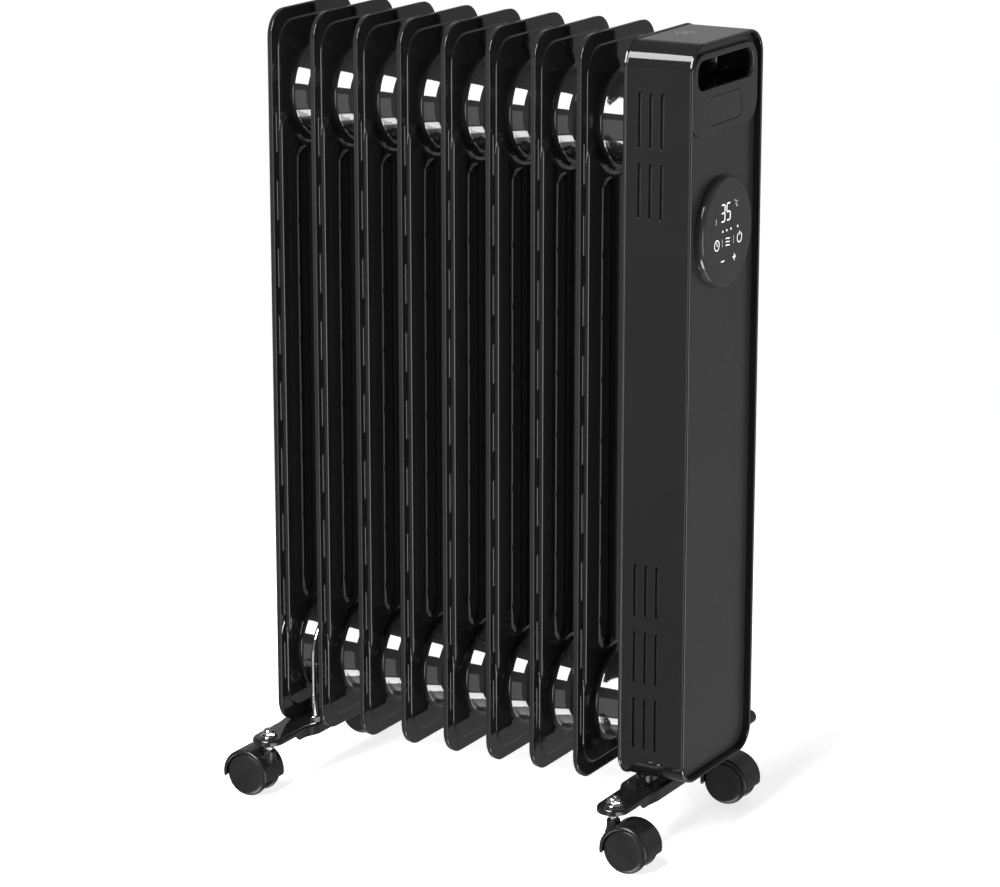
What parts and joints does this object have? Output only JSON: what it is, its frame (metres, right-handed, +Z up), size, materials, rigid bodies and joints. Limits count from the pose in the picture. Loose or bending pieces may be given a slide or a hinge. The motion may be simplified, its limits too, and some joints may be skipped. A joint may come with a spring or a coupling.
{
  "type": "oil filled radiator heater",
  "caption": "Upright oil filled column radiator with pressed fins, a slim front control housing with a grip and a round touch display, and swivel casters.",
  "frame": {"origin": "middle of the footprint, on the floor under the casters", "axes": "+Z up, +X from the last fin towards the control housing, +Y across, to the left of someone looking along +X"},
  "size_m": [0.3946, 0.2, 0.63],
  "materials": {
    "fin_paint": "gloss black powder coat on pressed steel",
    "bracket_paint": "gloss black paint on pressed steel",
    "gloss_black": "polished black moulding",
    "panel_grey": "satin dark grey moulding",
    "badge_satin": "satin dark plate",
    "matte_black": "fine textured black moulding",
    "lens_black": "polished black touch cap",
    "board_green": "green solder mask",
    "diffuser_white": "milky light guide",
    "component_dark": "dark component bodies",
    "terminal_white": "off-white moulded insulation",
    "lead_red": "red insulated wire",
    "ribbon_grey": "grey ribbon cable",
    "zinc_steel": "zinc plated steel",
    "element_steel": "drawn steel",
    "chrome_plate": "bright chrome plate",
    "brass": "turned brass",
    "gasket_rubber": "flat black gasket",
    "caster_plastic": "black caster moulding",
    "wheel_plastic": "black caster wheel moulding"
  },
  "bodies": {
    "radiator": {"fin_1": "fin_paint", "fin_2": "fin_paint", "fin_3": "fin_paint", "fin_4": "fin_paint", "fin_5": "fin_paint", "fin_6": "fin_paint", "fin_7": "fin_paint", "fin_8": "fin_paint", "fill_plug": "zinc_steel", "heating_element": "element_steel", "element_plug": "brass", "element_gasket": "gasket_rubber", "element_terminals": "zinc_steel", "housing_shell": "gloss_black", "front_panel": "panel_grey", "handle_surround": "gloss_black", "badge_plate": "badge_satin", "handle_pocket": "matte_black", "touch_lens": "lens_black", "display_board": "board_green", "display_diffuser": "diffuser_white", "panel_screws": "zinc_steel", "housing_nut": "zinc_steel", "cord_gland": "matte_black", "power_board": "board_green", "transformer": "component_dark", "relays": "component_dark", "filter_capacitor": "component_dark", "terminal_block": "terminal_white", "thermal_cutout": "terminal_white", "temperature_sensor": "element_steel", "element_leads": "lead_red", "display_cable": "ribbon_grey", "tip_switch_case": "terminal_white", "rear_foot_bracket": "bracket_paint", "front_foot_bracket": "bracket_paint", "u_bolt": "chrome_plate", "u_bolt_nuts": "zinc_steel", "bracket_screws": "zinc_steel", "caster_stems": "chrome_plate", "caster_cap_nuts": "chrome_plate", "caster_lock_nuts": "zinc_steel"},
    "caster_rear_right": {"caster_hood_rear_right": "caster_plastic", "caster_axle_rear_right": "element_steel"},
    "wheel_rear_right_outer": {"caster_wheel_rear_right_outer": "wheel_plastic"},
    "wheel_rear_right_inner": {"caster_wheel_rear_right_inner": "wheel_plastic"},
    "caster_rear_left": {"caster_hood_rear_left": "caster_plastic", "caster_axle_rear_left": "element_steel"},
    "wheel_rear_left_outer": {"caster_wheel_rear_left_outer": "wheel_plastic"},
    "wheel_rear_left_inner": {"caster_wheel_rear_left_inner": "wheel_plastic"},
    "caster_front_right": {"caster_hood_front_right": "caster_plastic", "caster_axle_front_right": "element_steel"},
    "wheel_front_right_outer": {"caster_wheel_front_right_outer": "wheel_plastic"},
    "wheel_front_right_inner": {"caster_wheel_front_right_inner": "wheel_plastic"},
    "caster_front_left": {"caster_hood_front_left": "caster_plastic", "caster_axle_front_left": "element_steel"},
    "wheel_front_left_outer": {"caster_wheel_front_left_outer": "wheel_plastic"},
    "wheel_front_left_inner": {"caster_wheel_front_left_inner": "wheel_plastic"},
    "tip_pendulum": {"tip_switch_pendulum": "brass"}
  },
  "joints": [
    {"name": "caster_rear_right_swivel", "type": "hinge", "parent": "radiator", "child": "caster_rear_right", "pos_m": [-0.1618, -0.086, 0.038], "axis": [0, 0, 1], "continuous": true},
    {"name": "wheel_rear_right_outer_spin", "type": "hinge", "parent": "caster_rear_right", "child": "wheel_rear_right_outer", "pos_m": [-0.1768, -0.086, 0.0184], "axis": [0, 1, 0], "continuous": true},
    {"name": "wheel_rear_right_inner_spin", "type": "hinge", "parent": "caster_rear_right", "child": "wheel_rear_right_inner", "pos_m": [-0.1768, -0.086, 0.0184], "axis": [0, 1, 0], "continuous": true},
    {"name": "caster_rear_left_swivel", "type": "hinge", "parent": "radiator", "child": "caster_rear_left", "pos_m": [-0.1618, 0.086, 0.038], "axis": [0, 0, 1], "continuous": true},
    {"name": "wheel_rear_left_outer_spin", "type": "hinge", "parent": "caster_rear_left", "child": "wheel_rear_left_outer", "pos_m": [-0.1768, 0.086, 0.0184], "axis": [0, 1, 0], "continuous": true},
    {"name": "wheel_rear_left_inner_spin", "type": "hinge", "parent": "caster_rear_left", "child": "wheel_rear_left_inner", "pos_m": [-0.1768, 0.086, 0.0184], "axis": [0, 1, 0], "continuous": true},
    {"name": "caster_front_right_swivel", "type": "hinge", "parent": "radiator", "child": "caster_front_right", "pos_m": [0.1506, -0.086, 0.038], "axis": [0, 0, 1], "continuous": true},
    {"name": "wheel_front_right_outer_spin", "type": "hinge", "parent": "caster_front_right", "child": "wheel_front_right_outer", "pos_m": [0.1656, -0.086, 0.0184], "axis": [0, 1, 0], "continuous": true},
    {"name": "wheel_front_right_inner_spin", "type": "hinge", "parent": "caster_front_right", "child": "wheel_front_right_inner", "pos_m": [0.1656, -0.086, 0.0184], "axis": [0, 1, 0], "continuous": true},
    {"name": "caster_front_left_swivel", "type": "hinge", "parent": "radiator", "child": "caster_front_left", "pos_m": [0.1506, 0.086, 0.038], "axis": [0, 0, 1], "continuous": true},
    {"name": "wheel_front_left_outer_spin", "type": "hinge", "parent": "caster_front_left", "child": "wheel_front_left_outer", "pos_m": [0.1656, 0.086, 0.0184], "axis": [0, 1, 0], "continuous": true},
    {"name": "wheel_front_left_inner_spin", "type": "hinge", "parent": "caster_front_left", "child": "wheel_front_left_inner", "pos_m": [0.1656, 0.086, 0.0184], "axis": [0, 1, 0], "continuous": true},
    {"name": "tip_pendulum_swing", "type": "hinge", "parent": "radiator", "child": "tip_pendulum", "pos_m": [0.152, -0.043, 0.177], "axis": [1, 0, 0], "range_deg": [-12, 12]}
  ]
}
